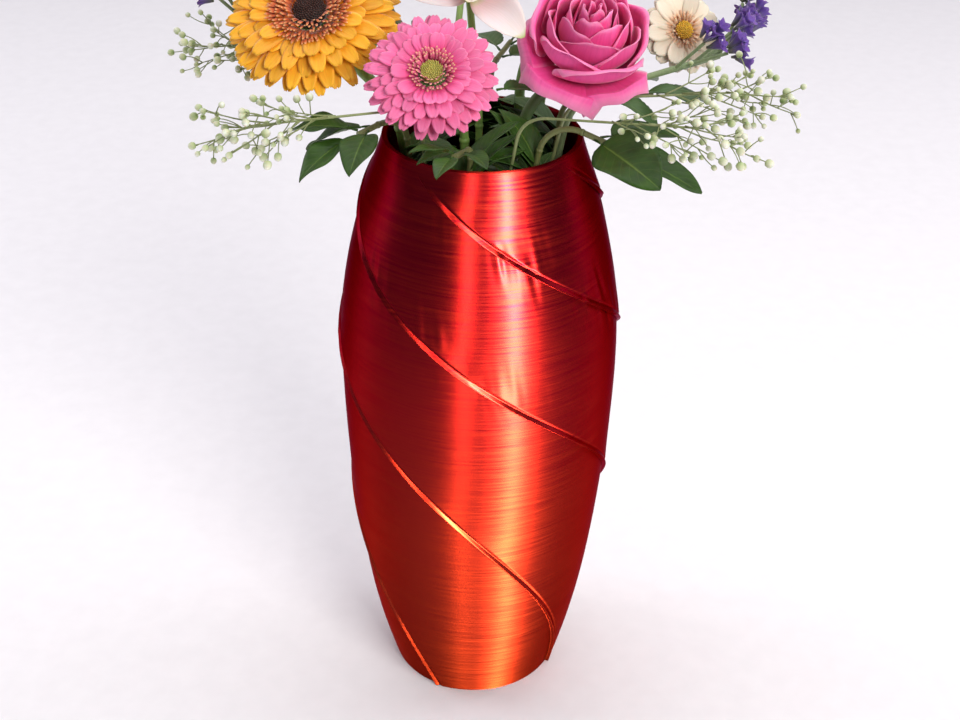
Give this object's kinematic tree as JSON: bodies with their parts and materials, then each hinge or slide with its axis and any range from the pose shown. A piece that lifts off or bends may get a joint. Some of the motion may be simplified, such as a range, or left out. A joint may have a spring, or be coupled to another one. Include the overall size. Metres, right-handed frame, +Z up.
{
  "type": "vase with cut flowers",
  "caption": "Tall printed vase with helical laps, holding a bouquet of gerberas, roses, alstroemerias, statice, gypsophila and foliage that lifts out",
  "frame": {"origin": "centre of the vase's flat underside", "axes": "+Z up; -Y towards the front of the bouquet; +X to the viewer's right"},
  "size_m": [0.3486, 0.2544, 0.4828],
  "materials": {
    "vase_plastic": "silk-sheen printed plastic, red",
    "flower_stem": "fresh green stem",
    "rose_stem": "fresh green stem",
    "statice_stem": "winged grey-green stem",
    "wiry_stem": "thin wiry stem",
    "foliage_twig": "green twig",
    "sepal_green": "green bracts",
    "rose_leaf": "satin leaf",
    "dark_leaf": "satin leaf",
    "grey_leaf": "waxy grey-green leaf",
    "orange_petal": "petal",
    "amber_petal": "petal",
    "pink_petal": "petal",
    "cream_petal": "petal",
    "rose_petal": "velvety petal",
    "blush_petal": "velvety petal",
    "white_tepal": "petal",
    "streaked_tepal": "petal with dark streaks",
    "stamen": "stamen",
    "dark_disc": "velvety disc florets",
    "lime_disc": "disc florets",
    "gold_disc": "disc florets",
    "violet_floret": "papery calyx",
    "white_bud": "bud"
  },
  "bodies": {
    "vase": {"vase": "vase_plastic"},
    "bunch": {"front_foliage_twig": "foliage_twig", "front_foliage_leaves": "dark_leaf", "left_foliage_twig": "foliage_twig", "left_foliage_leaves": "dark_leaf", "right_foliage_twig": "foliage_twig", "right_foliage_leaves": "dark_leaf", "far_right_foliage_twig": "foliage_twig", "far_right_foliage_leaves": "grey_leaf", "back_foliage_twig": "foliage_twig", "back_foliage_leaves": "grey_leaf", "front_left_gypsophila_stem": "wiry_stem", "front_left_gypsophila_buds": "white_bud", "back_left_gypsophila_stem": "wiry_stem", "back_left_gypsophila_buds": "white_bud", "front_right_gypsophila_stem": "wiry_stem", "front_right_gypsophila_buds": "white_bud", "back_right_gypsophila_stem": "wiry_stem", "back_right_gypsophila_buds": "white_bud", "right_statice_stem": "statice_stem", "right_statice_florets": "violet_floret", "left_statice_stem": "statice_stem", "left_statice_florets": "violet_floret"},
    "orange_gerbera": {"orange_gerbera_stem": "flower_stem", "orange_gerbera_involucre": "sepal_green", "orange_gerbera_rays": "orange_petal", "orange_gerbera_disc": "dark_disc"},
    "pink_gerbera": {"pink_gerbera_stem": "flower_stem", "pink_gerbera_involucre": "sepal_green", "pink_gerbera_rays": "pink_petal", "pink_gerbera_disc": "lime_disc"},
    "cream_gerbera": {"cream_gerbera_stem": "flower_stem", "cream_gerbera_involucre": "sepal_green", "cream_gerbera_rays": "cream_petal", "cream_gerbera_disc": "gold_disc"},
    "amber_gerbera": {"amber_gerbera_stem": "flower_stem", "amber_gerbera_involucre": "sepal_green", "amber_gerbera_rays": "amber_petal", "amber_gerbera_disc": "dark_disc"},
    "pink_rose": {"pink_rose_stem": "rose_stem", "pink_rose_calyx": "sepal_green", "pink_rose_outer_petals": "rose_petal", "pink_rose_inner_petals": "rose_petal", "pink_rose_leaves": "rose_leaf"},
    "blush_rose": {"blush_rose_stem": "rose_stem", "blush_rose_calyx": "sepal_green", "blush_rose_outer_petals": "blush_petal", "blush_rose_inner_petals": "blush_petal", "blush_rose_leaves": "rose_leaf"},
    "front_alstroemeria": {"front_alstroemeria_stem": "flower_stem", "front_alstroemeria_outer_tepals": "white_tepal", "front_alstroemeria_inner_tepals": "streaked_tepal", "front_alstroemeria_stamens": "stamen"},
    "back_alstroemeria": {"back_alstroemeria_stem": "flower_stem", "back_alstroemeria_outer_tepals": "white_tepal", "back_alstroemeria_inner_tepals": "streaked_tepal", "back_alstroemeria_stamens": "stamen"}
  },
  "joints": [
    {"name": "bouquet_lift", "type": "slide", "parent": "vase", "child": "bunch", "axis": [0, 0, 1], "range_m": [0, 0.38]},
    {"name": "orange_gerbera_pull", "type": "slide", "parent": "bunch", "child": "orange_gerbera", "axis": [-0.1545, -0.1118, 0.9816], "range_m": [0, 0.38]},
    {"name": "pink_gerbera_pull", "type": "slide", "parent": "bunch", "child": "pink_gerbera", "axis": [0.0025, -0.0773, 0.997], "range_m": [0, 0.38]},
    {"name": "cream_gerbera_pull", "type": "slide", "parent": "bunch", "child": "cream_gerbera", "axis": [0.0593, 0.1813, 0.9816], "range_m": [0, 0.38]},
    {"name": "amber_gerbera_pull", "type": "slide", "parent": "bunch", "child": "amber_gerbera", "axis": [-0.0063, 0.1906, 0.9816], "range_m": [0, 0.38]},
    {"name": "pink_rose_pull", "type": "slide", "parent": "bunch", "child": "pink_rose", "axis": [0.0768, 0.0093, 0.997], "range_m": [0, 0.38]},
    {"name": "blush_rose_pull", "type": "slide", "parent": "bunch", "child": "blush_rose", "axis": [-0.1767, 0.0718, 0.9816], "range_m": [0, 0.38]},
    {"name": "front_alstroemeria_pull", "type": "slide", "parent": "bunch", "child": "front_alstroemeria", "axis": [0, 0, 1], "range_m": [0, 0.38]},
    {"name": "back_alstroemeria_pull", "type": "slide", "parent": "bunch", "child": "back_alstroemeria", "axis": [-0.137, 0.1327, 0.9816], "range_m": [0, 0.38]}
  ]
}
